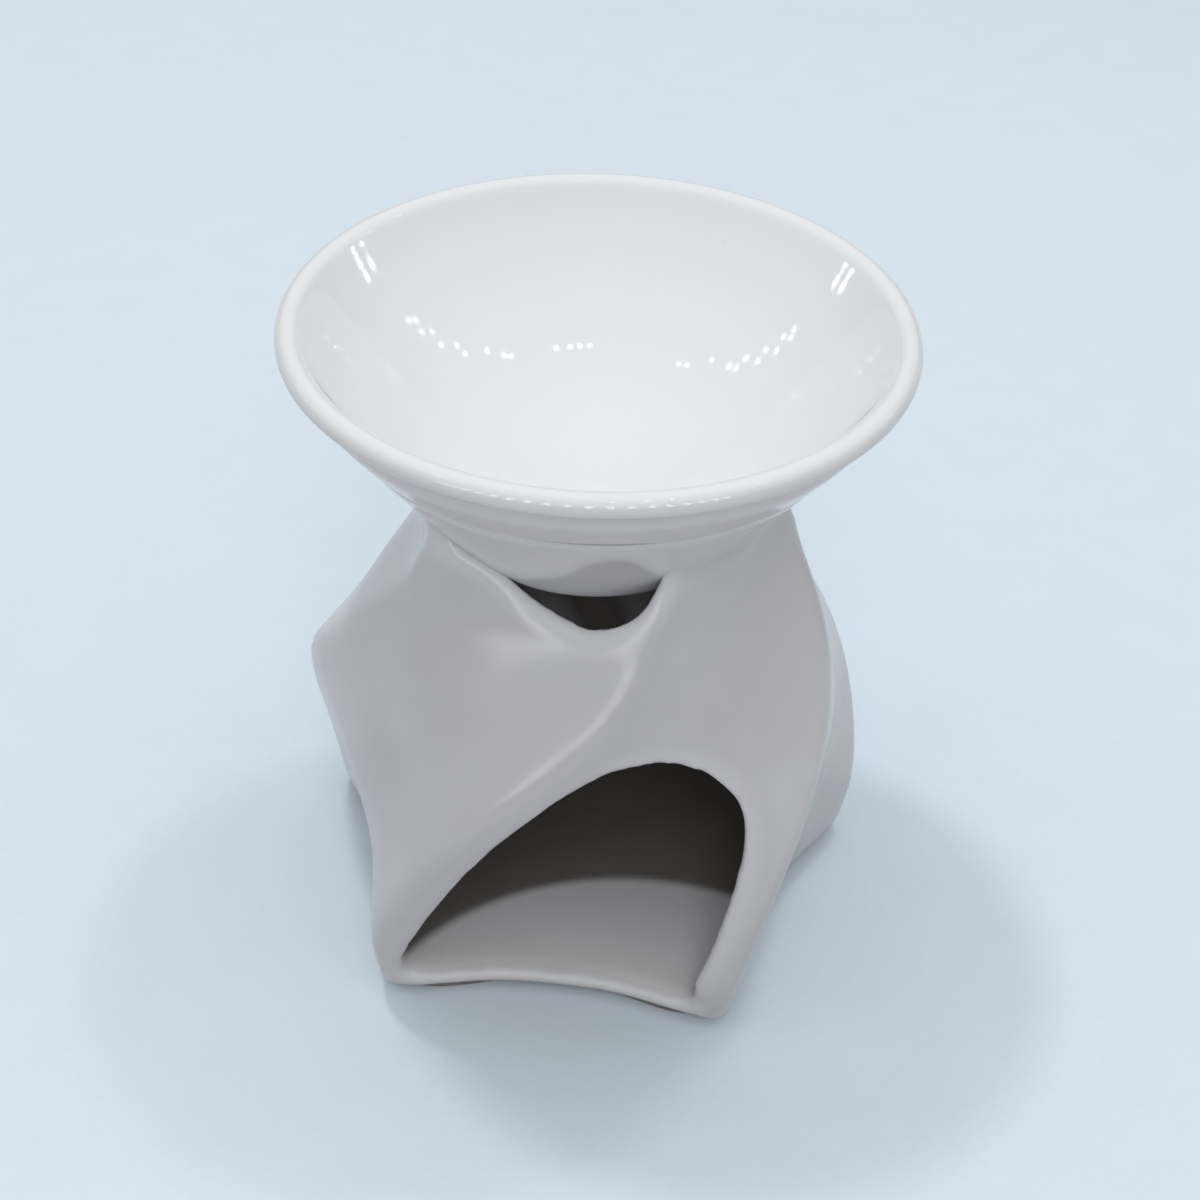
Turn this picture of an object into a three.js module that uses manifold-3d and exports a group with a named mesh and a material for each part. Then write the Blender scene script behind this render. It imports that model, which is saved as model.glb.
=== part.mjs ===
// Wax melt burner: a glazed ceramic stand with five twisted ridges, an arched mouth for the tealight
// and air vents under a round wax dish. Sizes are in millimetres, +Z is up, the mouth looks along -Y,
// and the origin is the middle of the face that the burner stands on.

import * as THREE from 'three';
import { mergeVertices } from 'three/addons/utils/BufferGeometryUtils.js';
import Module from 'manifold-3d';

// Wax dish
const DISH_RADIUS = 55;
const DISH_TOP = 125;
const LIP_THICKNESS = 4.6;
const DISH_WALL = 4.5;
const DISH_UNDERSIDE = 84;
const DISH_BASE_RADIUS = 25.5;
const DISH_OUTER_CORNER = 6;
const BOWL_FLOOR_RADIUS = 3;
const BOWL_LOW_CURVE = 42.2;
const BOWL_TURN_ANGLE = 44;
const BOWL_LIP_ANGLE = 60;
const DISH_SEGMENTS = 72;
const LIP_STEPS = 9;
const CORNER_STEPS = 7;
const BOWL_LOW_STEPS = 8;
const BOWL_HIGH_STEPS = 4;

// Twisted stand: the ridge and face radii and the turn at each height
const RIDGES = 5;
const FIRST_RIDGE_ANGLE = 228.8;
const STAND_BOTTOM = 2;
const STATIONS = [
  { height: STAND_BOTTOM, ridge: 53.8, face: 39.6, turn: 0 },
  { height: 14, ridge: 56.1, face: 42.4, turn: 0.4 },
  { height: 28, ridge: 56.3, face: 45, turn: 5 },
  { height: 47, ridge: 53.6, face: 47.2, turn: 16.8 },
  { height: 66, ridge: 46.5, face: 41, turn: 38.7 },
  { height: 82, ridge: 37.6, face: 31.6, turn: 56.7 },
  { height: 94.5, ridge: 34.1, face: 28.4, turn: 64.6 },
];
const CREST_POWER = 2.5;
const CREST_ROUNDING = 0.09;
const STAND_WALL = 4;
const RIDGE_WALL = 5;
const INNER_CREST_ROUNDING = 0.3;
const BOTTOM_EDGE_ROUNDING = 1.5;
const BOTTOM_EDGE_LEANS = [90, 55, 25];
const RING_SPACING = 5.2;
const OUTER_SPOTS = [0, 0.03, 0.07, 0.13, 0.22, 0.35, 0.5, 0.65, 0.78, 0.87, 0.93, 0.97];
const INNER_SPOTS = [0, 0.07, 0.17, 0.32, 0.5, 0.68, 0.83, 0.93];

// Floor plate, whose underside is the unglazed foot
const FLOOR_TOP = 6;

// Slip seams between the stand and the dish
const SEAM_THICKNESS = 1.4;
const FIT_GAP = 0.3;

// Mouth, cut straight back through one face: [share of the way across the face, height above the floor]
const MOUTH_FACE = 0;
const MOUTH_OUTLINE = [
  [0.05, 5], [0.085, 15], [0.102, 27], [0.1, 42], [0.112, 51], [0.17, 54.8], [0.27, 55.7],
  [0.43, 54.5], [0.61, 51], [0.77, 45.5], [0.865, 39.2], [0.905, 30], [0.93, 16], [0.92, 6],
];
const MOUTH_CUT_DEPTH = 10;
const ARCH_STEPS = 30;
const SILL_STEPS = 6;

// Vents, cut in the faces beside the mouth: [share across, height above the dish's underside]
const VENT_FACES = [-1, 1];
const VENT_OUTLINE = [
  [0.03, 9], [0.2, 6.6], [0.33, 4.2], [0.45, 1.4], [0.58, 0], [0.7, -1], [0.79, -1.4],
  [0.88, 0.3], [0.945, 3], [0.98, 5.6], [0.99, 8],
];
const VENT_STEPS = 20;

// Cutters run past what they cut, and their ends are closed by loops
const CUTTER_REACH = 4;
const CUTTER_LOOPS = 5;
const WELD_DISTANCE = 1e-5;

const wasm = await Module();
wasm.setup();

const radians = THREE.MathUtils.degToRad;

// Booleans

function toSolid(geometry) {
  const bare = geometry.clone();
  bare.deleteAttribute('normal');
  bare.deleteAttribute('uv');
  const merged = mergeVertices(bare, WELD_DISTANCE);
  return new wasm.Manifold(new wasm.Mesh({
    numProp: 3,
    vertProperties: new Float32Array(merged.attributes.position.array),
    triVerts: new Uint32Array(merged.index.array),
  }));
}

function toGeometry(solid) {
  const mesh = solid.getMesh();
  const geometry = new THREE.BufferGeometry();
  geometry.setAttribute('position', new THREE.BufferAttribute(mesh.vertProperties, 3));
  geometry.setIndex(new THREE.BufferAttribute(mesh.triVerts, 1));
  geometry.computeVertexNormals();
  return geometry;
}

// Stations are joined by a smooth curve, and above the last one the sides carry on straight
function stationSlope(key, i) {
  const rise = (a, b) => (
    (STATIONS[b][key] - STATIONS[a][key]) / (STATIONS[b].height - STATIONS[a].height)
  );
  if (i === 0) return rise(0, 1);
  if (i === STATIONS.length - 1) return rise(i - 1, i);
  const below = STATIONS[i].height - STATIONS[i - 1].height;
  const above = STATIONS[i + 1].height - STATIONS[i].height;
  return (rise(i - 1, i) * above + rise(i, i + 1) * below) / (below + above);
}

function along(key, height) {
  const last = STATIONS.length - 1;
  const beyond = height - STATIONS[last].height;
  if (beyond > 0) return STATIONS[last][key] + beyond * stationSlope(key, last);
  const i = Math.max(0, STATIONS.findIndex((station) => station.height >= height) - 1);
  const [low, high] = [STATIONS[i], STATIONS[i + 1]];
  const span = high.height - low.height;
  const t = (height - low.height) / span;
  const t2 = t * t;
  const t3 = t2 * t;
  return low[key] * (2 * t3 - 3 * t2 + 1) + high[key] * (3 * t2 - 2 * t3)
    + span * (stationSlope(key, i) * (t3 - 2 * t2 + t) + stationSlope(key, i + 1) * (t3 - t2));
}

// How much of the ridge shows at a spot across a face: 1 on the ridge, 0 in the middle of the face
function crest(across, rounding) {
  const fromRidge = 1 - Math.abs(2 * (across - Math.floor(across)) - 1);
  const eased = (Math.hypot(fromRidge, rounding) - rounding) / (Math.hypot(1, rounding) - rounding);
  return Math.max(0, 1 - eased) ** CREST_POWER;
}

// A point on the stand's outer surface, or moved out from it by an offset
function outerPoint(across, height, offset = 0) {
  const face = along('face', height);
  const radius = face + (along('ridge', height) - face) * crest(across, CREST_ROUNDING) + offset;
  return aimed(across, height, radius);
}

function innerPoint(across, height, inset = 0) {
  const face = along('face', height) - STAND_WALL - inset;
  const ridge = along('ridge', height) - RIDGE_WALL - inset;
  return aimed(across, height, face + (ridge - face) * crest(across, INNER_CREST_ROUNDING));
}

function aimed(across, height, radius) {
  const angle = radians(FIRST_RIDGE_ANGLE + along('turn', height) + across * 360 / RIDGES);
  return [radius * Math.cos(angle), radius * Math.sin(angle), height];
}

// Closed solid from rings of points, listed from the bottom up and counter-clockwise from above
function loft(rings) {
  const count = rings[0].length;
  const positions = rings.flat(2);
  const indices = [];
  for (let r = 0; r + 1 < rings.length; r += 1) {
    for (let i = 0; i < count; i += 1) {
      const j = (i + 1) % count;
      const [a, b, c, d] = [r * count + i, r * count + j, (r + 1) * count + j, (r + 1) * count + i];
      indices.push(a, b, c, a, c, d);
    }
  }
  const cap = (ring, base, up) => {
    const middle = positions.length / 3;
    const mean = [0, 1, 2].map((axis) => ring.reduce((sum, point) => sum + point[axis], 0) / count);
    positions.push(...mean);
    for (let i = 0; i < count; i += 1) {
      const j = (i + 1) % count;
      indices.push(...(up ? [base + i, base + j, middle] : [base + j, base + i, middle]));
    }
  };
  cap(rings[0], 0, false);
  cap(rings[rings.length - 1], (rings.length - 1) * count, true);
  const geometry = new THREE.BufferGeometry();
  geometry.setAttribute('position', new THREE.Float32BufferAttribute(positions, 3));
  geometry.setIndex(indices);
  return geometry;
}

function ring(spots, point) {
  const around = [];
  for (let face = 0; face < RIDGES; face += 1) {
    for (const spot of spots) around.push(point(face + spot));
  }
  return around;
}

function heightsBetween(low, high) {
  const steps = Math.ceil((high - low) / RING_SPACING);
  return Array.from({ length: steps + 1 }, (_, i) => low + (high - low) * i / steps);
}

// Dish

// The underside's straight slope runs from the lip to the rounded base
const lipRadius = LIP_THICKNESS / 2;
const lipCentre = new THREE.Vector2(DISH_RADIUS - lipRadius, DISH_TOP - lipRadius);

// Rounded corner between two straight stretches, as a list of points
function roundedCorner(before, corner, after, radius) {
  const back = before.clone().sub(corner).normalize();
  const on = after.clone().sub(corner).normalize();
  const half = Math.acos(THREE.MathUtils.clamp(back.dot(on), -1, 1)) / 2;
  const inward = back.clone().add(on).normalize();
  const centre = corner.clone().addScaledVector(inward, radius / Math.sin(half));
  const start = corner.clone().addScaledVector(back, radius / Math.tan(half)).sub(centre);
  const end = corner.clone().addScaledVector(on, radius / Math.tan(half)).sub(centre);
  const from = start.angle();
  const turn = Math.atan2(start.cross(end), start.dot(end));
  return Array.from({ length: CORNER_STEPS + 1 }, (_, i) => {
    const angle = from + turn * i / CORNER_STEPS;
    return new THREE.Vector2(centre.x + radius * Math.cos(angle), centre.y + radius * Math.sin(angle));
  });
}

// The dish's slope leaves the lip where it is tangent to it
function slopeTangent(corner) {
  const away = lipCentre.clone().sub(corner);
  const lean = away.angle() - Math.asin(lipRadius / away.length());
  const reach = Math.sqrt(away.lengthSq() - lipRadius ** 2);
  return new THREE.Vector2(corner.x + reach * Math.cos(lean), corner.y + reach * Math.sin(lean));
}

const dishCorner = new THREE.Vector2(DISH_BASE_RADIUS, DISH_UNDERSIDE);
const slopeTop = slopeTangent(dishCorner);
const slopeAngle = slopeTop.clone().sub(dishCorner).angle();
const slopeNormal = new THREE.Vector2(Math.sin(slopeAngle), -Math.cos(slopeAngle));

// The stand is lofted past the dish's underside, which then trims it
const neck = STATIONS[STATIONS.length - 1];
const standTop = DISH_UNDERSIDE + CUTTER_REACH + (neck.ridge - DISH_BASE_RADIUS) * Math.tan(slopeAngle);

// The outside of the dish from the axis to the lip, moved out by an offset
function dishUnderside(offset) {
  const top = slopeTop.clone().addScaledVector(slopeNormal, offset);
  const base = DISH_UNDERSIDE - offset;
  const corner = new THREE.Vector2(top.x - (top.y - base) / Math.tan(slopeAngle), base);
  const middle = new THREE.Vector2(0, base);
  return [middle, ...roundedCorner(middle, corner, top, DISH_OUTER_CORNER + offset), top];
}

// Points of a hollow arc that climbs outwards from a start, as its slope goes from one angle to another
function hollowArc(start, first, last, radius, steps) {
  return Array.from({ length: steps }, (_, i) => {
    const lean = radians(first + (last - first) * (i + 1) / steps);
    return new THREE.Vector2(
      start.x + radius * (Math.sin(lean) - Math.sin(radians(first))),
      start.y + radius * (Math.cos(radians(first)) - Math.cos(lean)),
    );
  });
}

function onLip(angle) {
  return new THREE.Vector2(Math.cos(angle), Math.sin(angle)).multiplyScalar(lipRadius).add(lipCentre);
}

// The inside from the axis to the lip: a round bottom that runs into nearly straight sides
function bowlInside() {
  const middle = new THREE.Vector2(0, DISH_UNDERSIDE + DISH_WALL);
  const floorEdge = new THREE.Vector2(BOWL_FLOOR_RADIUS, middle.y);
  const low = hollowArc(floorEdge, 0, BOWL_TURN_ANGLE, BOWL_LOW_CURVE, BOWL_LOW_STEPS);
  const turn = low[low.length - 1];
  const halfTurn = radians(BOWL_LIP_ANGLE - BOWL_TURN_ANGLE) / 2;
  const highCurve = onLip(radians(BOWL_LIP_ANGLE + 90)).distanceTo(turn) / 2 / Math.sin(halfTurn);
  const high = hollowArc(turn, BOWL_TURN_ANGLE, BOWL_LIP_ANGLE, highCurve, BOWL_HIGH_STEPS);
  return [middle, floorEdge, ...low, ...high];
}

function dishGeometry() {
  const lipTurn = radians(BOWL_LIP_ANGLE + 180) - slopeAngle;
  const lip = Array.from({ length: LIP_STEPS - 1 }, (_, i) => (
    onLip(slopeAngle - Math.PI / 2 + lipTurn * (i + 1) / LIP_STEPS)
  ));
  const profile = [...dishUnderside(0), ...lip, ...bowlInside().reverse()];
  return new THREE.LatheGeometry(profile, DISH_SEGMENTS).rotateX(Math.PI / 2);
}

// Everything above the dish's underside, as a cutter for what holds the dish
function aboveUnderside(offset) {
  const under = dishUnderside(offset);
  const last = under[under.length - 1];
  const wide = DISH_RADIUS + CUTTER_REACH;
  const tall = DISH_TOP + CUTTER_REACH;
  const profile = [...under, new THREE.Vector2(wide, last.y), new THREE.Vector2(wide, tall),
    new THREE.Vector2(0, tall)];
  return toSolid(new THREE.LatheGeometry(profile, DISH_SEGMENTS).rotateX(Math.PI / 2));
}

// Openings

// A plug through the wall whose outline follows a face. Its two ends are lists of loops that shrink
// towards the middle of the outline, and inEnd and outEnd place a spot of the face on each of them.
function wallPlug(outline, inEnd, outEnd) {
  const middle = [0, 1].map((k) => {
    const values = outline.map((spot) => spot[k]);
    return (Math.min(...values) + Math.max(...values)) / 2;
  });
  const loop = (share, place) => outline.map(([across, height]) => place(
    middle[0] + (across - middle[0]) * share,
    middle[1] + (height - middle[1]) * share,
  ));
  const shares = Array.from({ length: CUTTER_LOOPS }, (_, i) => (i + 1) / CUTTER_LOOPS);
  const inner = shares.map((share) => loop(share, inEnd));
  const outer = shares.map((share) => loop(share, outEnd)).reverse();
  return toSolid(loft([...inner, ...outer]));
}

function smoothOutline(points, count) {
  const curve = new THREE.SplineCurve(points.map(([x, y]) => new THREE.Vector2(x, y)));
  return curve.getPoints(count).map((p) => [p.x, p.y]);
}

// The mouth's sides run straight back, as a knife pushed in from the front leaves them
function mouthPlug() {
  const arch = smoothOutline(MOUTH_OUTLINE, ARCH_STEPS).map(([across, rise]) => [across, FLOOR_TOP + rise]);
  const [left, right] = [MOUTH_OUTLINE[0][0], MOUTH_OUTLINE[MOUTH_OUTLINE.length - 1][0]];
  const sill = Array.from({ length: SILL_STEPS + 1 }, (_, i) => (
    [right + (left - right) * i / SILL_STEPS, FLOOR_TOP]
  ));
  const moved = (back) => (across, height) => {
    const [x, y, z] = outerPoint(MOUTH_FACE + across, height);
    return [x, y + back, z];
  };
  return wallPlug([...arch, ...sill].reverse(), moved(MOUTH_CUT_DEPTH), moved(-CUTTER_REACH));
}

// The vent on the right of the mouth is the mirror image of the one on its left
function ventPlug(face) {
  const sill = smoothOutline(VENT_OUTLINE, VENT_STEPS)
    .map(([across, rise]) => [across, DISH_UNDERSIDE + rise]);
  const [first, last] = [sill[0][0], sill[sill.length - 1][0]];
  const outline = [...sill, [last, standTop], [(first + last) / 2, standTop], [first, standTop]];
  const mirrored = outline.map(([across, height]) => [1 - across, height]).reverse();
  const moved = (offset) => (across, height) => outerPoint(face + across, height, offset);
  const inward = STAND_WALL + RIDGE_WALL + CUTTER_REACH;
  return wallPlug(face > MOUTH_FACE ? mirrored : outline, moved(-inward), moved(CUTTER_REACH));
}

// Stand

function outerLoft() {
  const edge = BOTTOM_EDGE_LEANS.map((lean) => ({
    height: STAND_BOTTOM + BOTTOM_EDGE_ROUNDING * (1 - Math.sin(radians(lean))),
    inset: BOTTOM_EDGE_ROUNDING * (1 - Math.cos(radians(lean))),
  }));
  const rings = edge.map(({ height, inset }) => (
    ring(OUTER_SPOTS, (across) => outerPoint(across, height, -inset))
  ));
  for (const height of heightsBetween(STAND_BOTTOM + BOTTOM_EDGE_ROUNDING, standTop)) {
    rings.push(ring(OUTER_SPOTS, (across) => outerPoint(across, height)));
  }
  return toSolid(loft(rings));
}

function cavityLoft() {
  const rings = heightsBetween(STAND_BOTTOM, standTop).map((height) => (
    ring(INNER_SPOTS, (across) => innerPoint(across, height))
  ));
  const shift = (points, amount) => points.map(([x, y, z]) => [x, y, z + amount]);
  rings.unshift(shift(rings[0], -CUTTER_REACH));
  rings.push(shift(rings[rings.length - 1], CUTTER_REACH));
  return toSolid(loft(rings));
}

// The floor fills the foot of the stand, and its flat underside stands a little below the stand's edge
function floorPlate() {
  const outline = ring(INNER_SPOTS, (across) => innerPoint(across, STAND_BOTTOM, FIT_GAP));
  return loft([0, FLOOR_TOP].map((height) => outline.map(([x, y]) => [x, y, height])));
}

const shell = outerLoft().subtract(cavityLoft());
const vents = VENT_FACES.map(ventPlug);
const ventilated = vents.reduce((solid, vent) => solid.subtract(vent), shell);
const stand = ventilated
  .subtract(mouthPlug())
  .subtract(aboveUnderside(FIT_GAP + SEAM_THICKNESS + FIT_GAP));
const seams = ventilated
  .intersect(aboveUnderside(FIT_GAP + SEAM_THICKNESS))
  .subtract(aboveUnderside(FIT_GAP))
  .decompose();

// Assembly

function glaze(name, color, roughness) {
  return new THREE.MeshStandardMaterial({ name, color, roughness, metalness: 0 });
}

const burner = new THREE.Group();
burner.name = 'wax_melt_burner';

function add(name, geometry, material) {
  const mesh = new THREE.Mesh(geometry, material);
  mesh.name = name;
  burner.add(mesh);
}

add('wax_dish', dishGeometry(), glaze('dish_glaze', 0xeef0f0, 0.12));
add('twisted_stand', toGeometry(stand), glaze('stand_glaze', 0xe4e5ea, 0.16));
add('floor_plate', floorPlate(), glaze('floor_glaze', 0xdcdce0, 0.2));
const seamNames = ['front_slip_seam', 'rear_slip_seam'];
seams.sort((a, b) => a.boundingBox().min[1] - b.boundingBox().min[1]);
seams.forEach((seam, i) => add(seamNames[i], toGeometry(seam), glaze('slip', 0xe6e6e8, 0.3)));

export default burner;
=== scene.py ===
"""A glazed wax melt burner: a wax dish on a twisted stand with a tealight mouth and two air vents."""

import math

import bmesh
import bpy
from mathutils import Matrix, Vector, kdtree
from mathutils.interpolate import poly_3d_calc

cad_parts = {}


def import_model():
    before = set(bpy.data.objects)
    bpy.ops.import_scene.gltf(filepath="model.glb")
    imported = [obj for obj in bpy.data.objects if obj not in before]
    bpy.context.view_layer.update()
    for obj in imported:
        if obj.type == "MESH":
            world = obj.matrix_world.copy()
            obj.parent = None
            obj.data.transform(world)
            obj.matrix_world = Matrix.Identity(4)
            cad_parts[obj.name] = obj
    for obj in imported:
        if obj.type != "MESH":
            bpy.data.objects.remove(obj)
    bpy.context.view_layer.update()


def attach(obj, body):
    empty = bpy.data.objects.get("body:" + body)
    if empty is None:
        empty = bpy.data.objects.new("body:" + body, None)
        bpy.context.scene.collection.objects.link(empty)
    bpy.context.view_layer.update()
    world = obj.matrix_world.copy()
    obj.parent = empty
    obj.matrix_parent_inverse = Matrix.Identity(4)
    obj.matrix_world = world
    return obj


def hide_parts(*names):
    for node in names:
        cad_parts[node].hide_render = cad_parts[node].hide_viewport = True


MM = 0.001

# Wax dish, in millimetres
DISH_RADIUS = 55
DISH_TOP = 125
LIP_THICKNESS = 4.6
DISH_WALL = 4.5
DISH_UNDERSIDE = 84
DISH_BASE_RADIUS = 25.5
DISH_OUTER_CORNER = 6
BOWL_FLOOR_RADIUS = 3
BOWL_LOW_CURVE = 42.2
BOWL_TURN_ANGLE = 44
BOWL_LIP_ANGLE = 60
DISH_TURN_STEPS = 144
CORNER_STEPS = 8
LIP_STEPS = 14
BOWL_LOW_STEPS = 18
BOWL_HIGH_STEPS = 10
UNDERSIDE_SHARES = (0.3, 0.6, 0.85)
SLOPE_RADII = (29, 33, 37, 40)
MERGE_DISTANCE = 0.02
UNDER_RING_RADIUS = 45
UNDER_RING_DEPTH = 0.75
LIP_GROOVE_RADIUS = 52
LIP_GROOVE_DEPTH = 1.6

# Section of the ring and the groove: distance from its radius, and share of its depth
UNDER_RING_SHAPE = ((-1.6, 0), (-0.9, 0.1), (-0.3, 0.8), (0.15, 1), (0.5, 0.5), (0.9, 0), (2.5, 0))
LIP_GROOVE_SHAPE = ((-2.4, 0), (-1.5, 0.1), (-0.7, 0.5), (0.2, 1), (0.9, 0.95))

# Twisted stand: height, ridge radius, face radius and turn in degrees, from the foot up
RIDGES = 5
FIRST_RIDGE_ANGLE = 228.8
STAND_BOTTOM = 2
STATIONS = (
    (2, 53.8, 39.6, 0),
    (14, 56.1, 42.4, 0.4),
    (28, 56.3, 45, 5),
    (47, 53.6, 47.2, 16.8),
    (66, 46.5, 41, 38.7),
    (82, 37.6, 31.6, 56.7),
    (94.5, 34.1, 28.4, 64.6),
)
RIDGE, FACE, TURN = 1, 2, 3
CREST_POWER = 2.5
CREST_ROUNDING = 0.09
INNER_CREST_ROUNDING = 0.3
STAND_WALL = 4
RIDGE_WALL = 5
BOTTOM_EDGE = 1.7
FLOOR_TOP = 6
SPOTS = 28
RING_SPACING = 2.4
TOP_RING = 82
EDGE_LEANS = (30, 60, 90)
POOL_RADIUS = 2.5
FLOOR_SHARES = (0.8, 0.6, 0.4, 0.2)

# Where the stand runs into the dish: the fillet outside, and the ends hidden in the dish's wall
MEETING_TRIES = 30
FLARE_REACH = 4.6
FLARE_FILL = 0.98
FLARE_TURN_HEIGHT = 88
TUCK_DEPTH = 0.06
HIDDEN_SPOTS = ((1.6, 1.2), (1.2, 2.4))
INNER_TOP_TURN_HEIGHT = 86
INNER_TOP_RISE = 3
INNER_TOP_TUCK = 1.5

# The glaze's one skin over all, and how far its cut edges are rounded
SKIN_GRID = 0.93
SKIN_SMOOTHING = 10
RIM_WIDTH = 1.2
RIM_FADE = 3.5
RIM_SMOOTHING = 45

# Mouth and vents: share of the way across the face, with millimetres above the floor or the dish's base
MOUTH_OUTLINE = (
    (0.05, 5), (0.085, 15), (0.102, 27), (0.1, 42), (0.112, 51), (0.17, 54.8), (0.27, 55.7),
    (0.43, 54.5), (0.61, 51), (0.77, 45.5), (0.865, 39.2), (0.905, 30), (0.93, 16), (0.92, 6),
)
VENT_OUTLINE = (
    (0.03, 9), (0.2, 6.6), (0.33, 4.2), (0.45, 1.4), (0.58, 0), (0.7, -1), (0.79, -1.4),
    (0.88, 0.3), (0.945, 3), (0.98, 5.6), (0.99, 8),
)
MOUTH_STEPS = 72
MOUTH_EASING = 14
MOUTH_INSET = 1.1
MOUTH_SILL_STEPS = 6
MOUTH_CUT_START = -70
MOUTH_CUT_END = -29
VENT_STEPS = 36
VENT_CUT_OFFSET = 6
VENT_CUT_RISE = 30
VENT_CUT_TOP = 107
VENT_CUT_SHARE = 0.5
RIM_STEPS = 60
MOUTH_RIM_DEPTH = 8
VENT_RIM_DEPTH = 5

# Where the chamber's painted shade begins: depth under the outer skin, and the edge of the light floor, which
# follows the arch's shadow on it
DARK_WALL_DEPTH = (2.4, 4)
INSIDE_BOTTOM = STAND_BOTTOM + 1
LIGHT_FLOOR_CENTRE = (10.8, -65)
LIGHT_FLOOR_RADIUS = (50.4, 53.2)
LIGHT_FLOOR_TOP = (8.5, 12)

# Foot, under the floor
FOOT_CLEARANCE = 0.3
FOOT_TOP = 2.4
FOOT_EDGE = 0.4
FOOT_EDGE_STEPS = 3
FOOT_SHARP_ANGLE = 60
FOOT_SMOOTH_ANGLE = 40

# Finishes: colours are linear, heights and sizes in millimetres, shares from 0 to 1
CLOUD_LIMITS = (0.35, 0.75)
HAZE_SIZE = 7.0
PIT_DIRT = 0.5
DISH_COLOR = (0.84, 0.86, 0.86)
DISH_WAVE_HEIGHT = 0.012
DISH_CLOUD_SHARE = 0.12
LIP_THIN_DEPTH = (3, 0.5)
LIP_THIN_SHARE = 0.3
BOWL_POOL_HEIGHT = 12
BOWL_POOL_SHARE = 0.25
# Painted shade: the stand's glaze is the same white as the dish's, set greyer to stand in for the shade under
# the dish
STAND_COLOR = (0.635, 0.64, 0.66)
STAND_GLOSS = 0.2
SILL_GLOSS = 0.07
SILL_TOP = (9, 13)
STAND_WAVE_SIZE = 13.0
NECK_POOL = (84, 93)
NECK_POOL_SHARE = 0.7
FOOT_POOL = (3, 7)
FOOT_POOL_SHARE = 0.5
# The stand's rims take the thin-glaze colour, lighter than its body: thinner glaze, and a painted highlight
# of the light the rounded edges catch
RIM_THIN_GLAZE_AND_HIGHLIGHT_SHARE = 0.5
PIT_COLOR = (0.5, 0.49, 0.47)
# Painted light: the chamber's floor is set lighter than the rest of the same glaze, standing in for the light
# that comes in through the mouth
CHAMBER_FLOOR_PAINTED_LIGHT_COLOR = (0.92, 0.91, 0.93)
# Painted shade: the chamber's walls and the floor behind the arch's shadow are painted dark, mottled between
# these two colours, in place of the shade that falls inside
CHAMBER_PAINTED_SHADE_COLOR = (0.17, 0.158, 0.148)
CHAMBER_PAINTED_SHADE_MOTTLE_COLOR = (0.23, 0.215, 0.2)
CHAMBER_ROUGHNESS = 0.5
PAINTED_SHADE_MOTTLE_SIZE = 16.0
CLAY_LIGHT_COLOR = (0.3, 0.285, 0.27)
CLAY_DARK_COLOR = (0.2, 0.188, 0.175)
CLAY_ROUGHNESS = (0.9, 0.75)
GRAIN_LIMITS = (0.3, 0.7)

# Camera, with angles in degrees and lengths in millimetres
CAMERA_LENS = 68.39
CAMERA_SENSOR = 36
CAMERA_TILT = 37.33
CAMERA_ROLL = 2.235
CAMERA_AIM = (1.907, 0, 64.632)
CAMERA_DISTANCE = 423.2
PICTURE_SIZE = 1200

# Stage: colours are linear, lamp directions are azimuth and elevation in degrees, distances in metres
FLOOR_SIZE = 12
FLOOR_COLOR = (0.74, 0.85, 0.915)
FLOOR_LIGHT_COLOR = (0.765, 0.87, 0.935)
FLOOR_BOUNCE = (0.45, 0.44, 0.48)
PAPER_ROUGHNESS = 0.9
PAPER_SPECULAR = 0.1
PAPER_GRAIN_SIZE = 1.6
PAPER_PATCH_SIZE = 14.0
PAPER_RELIEF = 0.02
TENT_LOW_COLOR = (0.95, 0.94, 1)
TENT_HIGH_COLOR = (1, 1, 1)
TENT_HORIZON = 0.1
TENT_ZENITH = 0.78
TENT_SIDES = 0.26
LAMP_AIM_HEIGHT = 100
SOFT_LAMP_DISTANCE = 1.2
SOFT_LAMPS = (
    ("back_left_lamp", (139, 72.6), 0.12, 0.175),
    ("back_right_lamp", (43, 70.8), 0.12, 0.088),
    ("front_lamp", (-86, 44), 0.45, 0.085),
    ("low_front_lamp", (-88, 20), 0.5, 0.02),
)

# Small lamps: spots of the picture where the bowl mirrors one, and the ends of the bar in front
BOWL_GLINTS = (
    (409, 320.5), (416, 320), (422, 331.5), (432, 331.5), (441.5, 345.5), (457, 345.5), (465.5, 354.5),
    (487, 351), (504, 355.5), (511, 356.5), (557, 348), (570, 347), (580, 346), (590, 345.5), (679, 364),
    (687, 365.5), (711.5, 360.5), (729, 366.5), (736, 367.5), (746, 358.5), (757.5, 361), (766, 349),
    (776.5, 350.5), (783.5, 336.5), (790.5, 338), (794, 329),
    (352, 248), (354, 252.5), (362, 244), (364, 248.5), (845.5, 265), (843, 269.5), (852, 271),
)
GLINT_WIDTH = 4.6
GLINT_STRENGTH = 14
GLINT_LAMP_LIMIT = 0.02
LAMP_DISTANCE = 0.9
FRONT_BAR_LEFT = (-0.72, -0.6, 0.36)
FRONT_BAR_RIGHT = (0.56, -0.6, 0.36)
FRONT_LAMPS = 19
FRONT_LAMP_WIDTH = 0.028
FRONT_LAMP_HEIGHT = 0.2
FRONT_LAMP_STRENGTH = 6


def deselect_all():
    if bpy.context.object and bpy.context.object.mode != "OBJECT":
        bpy.ops.object.mode_set(mode="OBJECT")
    bpy.ops.object.select_all(action="DESELECT")


def name_piece(name):
    piece = bpy.context.object
    piece.name = piece.data.name = name
    return piece


def keep_place(piece):
    """Leaves the piece's object at the origin with its place in its mesh."""
    deselect_all()
    piece.select_set(True)
    bpy.context.view_layer.objects.active = piece
    bpy.ops.object.transform_apply(location=True, rotation=True, scale=True)


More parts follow.
